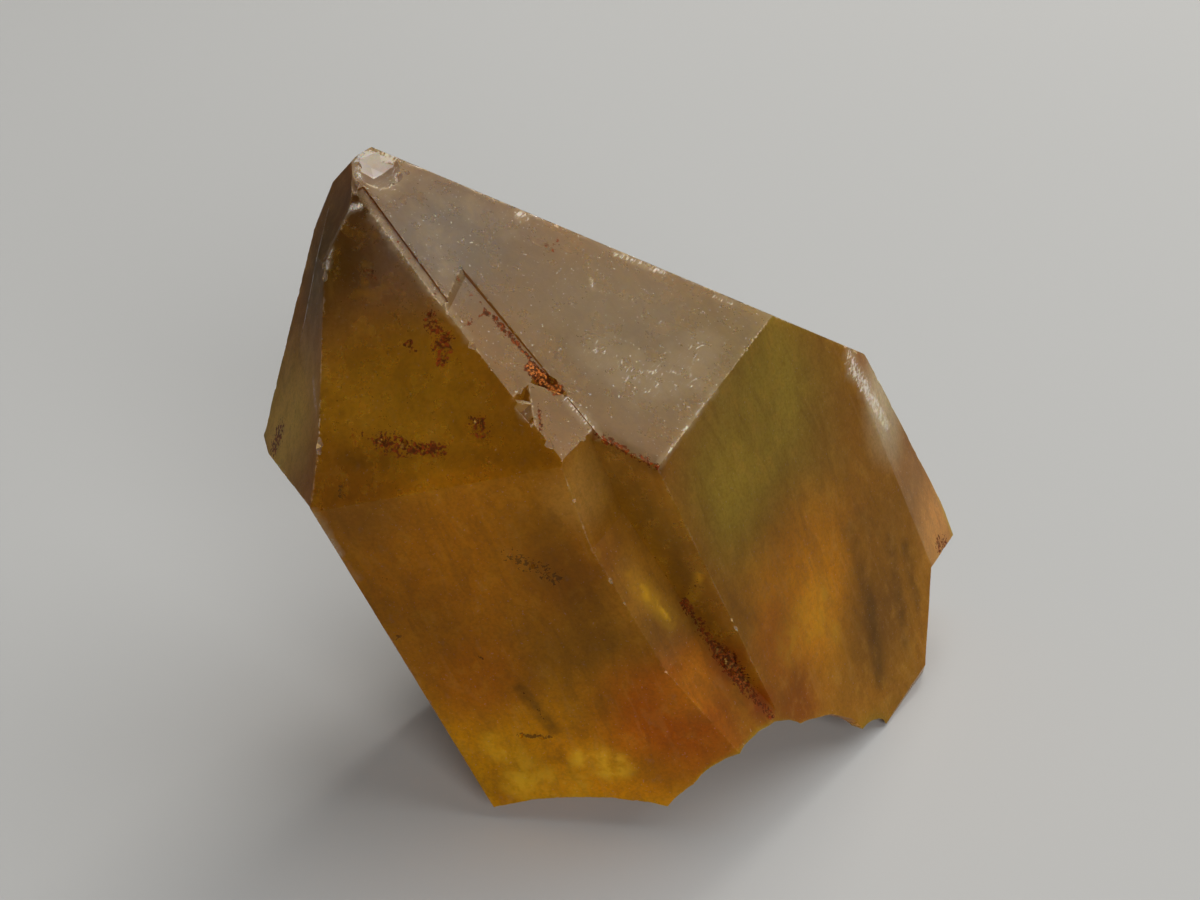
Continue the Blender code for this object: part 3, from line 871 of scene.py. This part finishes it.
class CRYSTAL_PG_settings(bpy.types.PropertyGroup):
    nick_spacing: bpy.props.FloatProperty(
        name="Nick spacing", description="Mean distance between nicks along a ridge", default=1.2 * MM,
        unit="LENGTH")
    nick_smallest: bpy.props.FloatProperty(
        name="Smallest nick", description="Radius of the smallest nick", default=0.07 * MM, unit="LENGTH")
    nick_largest: bpy.props.FloatProperty(
        name="Largest nick", description="Radius of the largest nick", default=0.38 * MM, unit="LENGTH")
    wear_width: bpy.props.FloatProperty(
        name="Wear width", description="How far from a ridge the wear reaches", default=0.11 * MM,
        unit="LENGTH")
    wear_depth: bpy.props.FloatProperty(
        name="Wear depth", description="How far a ridge is worn back", default=0.06 * MM, unit="LENGTH")
    mesh_blocks: bpy.props.FloatProperty(
        name="Mesh blocks", description="Spacing of the planes that the flat faces are cut by first",
        default=2.5 * MM, unit="LENGTH")
    mesh_fine: bpy.props.FloatProperty(
        name="Fine mesh", description="Longest mesh edge at a ridge", default=0.12 * MM, unit="LENGTH")
    mesh_coarse: bpy.props.FloatProperty(
        name="Coarse mesh", description="Longest mesh edge on a face", default=0.55 * MM, unit="LENGTH")
    etch_strength: bpy.props.FloatProperty(
        name="Etching", description="How strongly the etched skin breaks up the light", default=0.25)
    etch_depth: bpy.props.FloatProperty(
        name="Etch depth", description="Depth of the etched grain", default=0.02 * MM, unit="LENGTH")
    ior: bpy.props.FloatProperty(name="IOR", description="Refractive index of quartz", default=1.544)
    shine: bpy.props.FloatProperty(
        name="Shine", description="Specular level of the etched skin", default=0.38)
    skin_tint: bpy.props.FloatVectorProperty(
        name="Skin tint", description="Warm tint that a thin iron film gives to reflections",
        default=linear("ddb561"), subtype="COLOR", size=3, min=0.0, max=1.0)
    body_colour: bpy.props.FloatVectorProperty(
        name="Body", description="Colour of the citrine outside its zones",
        default=linear("a2690f"), subtype="COLOR", size=3, min=0.0, max=1.0)
    glow: bpy.props.FloatProperty(
        name="Glow", description="Share of the cloudy body's light that spreads inside it", default=0.5,
        subtype="FACTOR", min=0.0, max=1.0)
    glow_reach: bpy.props.FloatVectorProperty(
        name="Glow reach", description="How far light spreads in the cloudy body, for red, green and blue",
        default=(4.5 * MM, 2.4 * MM, 0.5 * MM), size=3, unit="LENGTH")
    depth_colour: bpy.props.FloatVectorProperty(
        name="Depth colour", description="Colour that survives in the depth of the crystal",
        default=linear("d4b53f"), subtype="COLOR", size=3, min=0.0, max=1.0)
    depth_density: bpy.props.FloatProperty(
        name="Depth density", description="Absorption per metre", default=24.0)
    floor_colour: bpy.props.FloatVectorProperty(
        name="Floor", description="Pale studio floor", default=linear("b8b8b6"), subtype="COLOR", size=3,
        min=0.0, max=1.0)


class CRYSTAL_OT_point(bpy.types.Operator):
    """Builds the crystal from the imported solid: stepped beside its front face, nicked, worn and marked"""

    bl_idname = "crystal.point"
    bl_label = "Crystal point"

    def execute(self, context):
        settings = context.scene.crystal_settings
        points, faces, marks, ridge_tree = shaped(settings)
        mesh = skinned(points, faces, marks, ridge_tree, settings)
        add_marks(mesh, ridge_tree, settings.wear_width)
        mesh.materials.append(citrine(settings))
        crystal = add_object("citrine_point", mesh)
        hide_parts(CRYSTAL)
        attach(crystal, BODY)
        return {"FINISHED"}


# ---------------------------------------------------------------- stage

def matt_paper(settings):
    """Uncoated paper, pressed but not glazed: it scatters light evenly, with hardly a sheen."""
    material = new_material("matt_paper")
    tree = material.node_tree
    shader = add_node(tree, "ShaderNodeBsdfPrincipled", inputs={
        "Base Color": (*settings.floor_colour, 1.0), "Roughness": FLOOR_ROUGHNESS,
        "Specular IOR Level": FLOOR_SHINE})
    add_node(tree, "ShaderNodeOutputMaterial", links={"Surface": shader.outputs["BSDF"]})
    return material


def add_floor(settings):
    mesh = bpy.data.meshes.new("floor")
    corners = [(x * FLOOR_HALF, y * FLOOR_HALF, 0.0) for x, y in ((-1, -1), (1, -1), (1, 1), (-1, 1))]
    mesh.from_pydata(corners, [], [(0, 1, 2, 3)])
    mesh.materials.append(matt_paper(settings))
    add_object("floor", mesh)


def add_lamps():
    """Places the round lamps and turns each to face the crystal."""
    for name, place, diameter, watts, code in LAMPS:
        light = bpy.data.lights.new(name, "AREA")
        light.shape = "DISK"
        light.size = diameter
        light.energy = watts
        light.color = linear(code)
        lamp = add_object(name, light)
        lamp.location = place
        lamp.rotation_euler = (Vector(LIGHT_AIM) - Vector(place)).to_track_quat("-Z", "Y").to_euler()


def new_world():
    """A dim, even light from all round."""
    world = bpy.data.worlds.new("studio")
    world.use_nodes = True
    background = world.node_tree.nodes["Background"]
    background.inputs["Color"].default_value = (*linear(WORLD_COLOUR), 1.0)
    background.inputs["Strength"].default_value = WORLD_STRENGTH
    return world


def new_camera():
    lens = bpy.data.cameras.new("camera")
    lens.lens = LENS
    lens.sensor_width = SENSOR
    lens.clip_start = MM
    camera = add_object("camera", lens)
    camera.location = Vector(CAMERA_PLACE) * MM
    camera.rotation_euler = (math.radians(CAMERA_TILT), 0.0, 0.0)
    return camera


class CRYSTAL_OT_stage(bpy.types.Operator):
    """Sets the pale floor, the soft lights and the camera"""

    bl_idname = "crystal.stage"
    bl_label = "Stage"

    def execute(self, context):
        scene = context.scene
        add_floor(scene.crystal_settings)
        add_lamps()
        scene.world = new_world()
        scene.view_settings.view_transform = "Standard"
        scene.camera = new_camera()
        return {"FINISHED"}


class CRYSTAL_PT_panel(bpy.types.Panel):
    bl_label = "Citrine crystal point"
    bl_idname = "CRYSTAL_PT_panel"
    bl_space_type = "VIEW_3D"
    bl_region_type = "UI"
    bl_category = "Crystal"

    def draw(self, context):
        settings = context.scene.crystal_settings
        for name in settings.__annotations__:
            self.layout.prop(settings, name)
        for operator in OPERATORS:
            self.layout.operator(operator.bl_idname)


OPERATORS = (CRYSTAL_OT_point, CRYSTAL_OT_stage)
CLASSES = (CRYSTAL_PG_settings, *OPERATORS, CRYSTAL_PT_panel)


def register():
    for cls in CLASSES:
        bpy.utils.register_class(cls)
    bpy.types.Scene.crystal_settings = bpy.props.PointerProperty(type=CRYSTAL_PG_settings)


def unregister():
    del bpy.types.Scene.crystal_settings
    for cls in reversed(CLASSES):
        bpy.utils.unregister_class(cls)


def main():
    register()
    bpy.ops.crystal.point()
    bpy.ops.crystal.stage()
    bpy.context.view_layer.update()


if __name__ == "__main__":
    main()
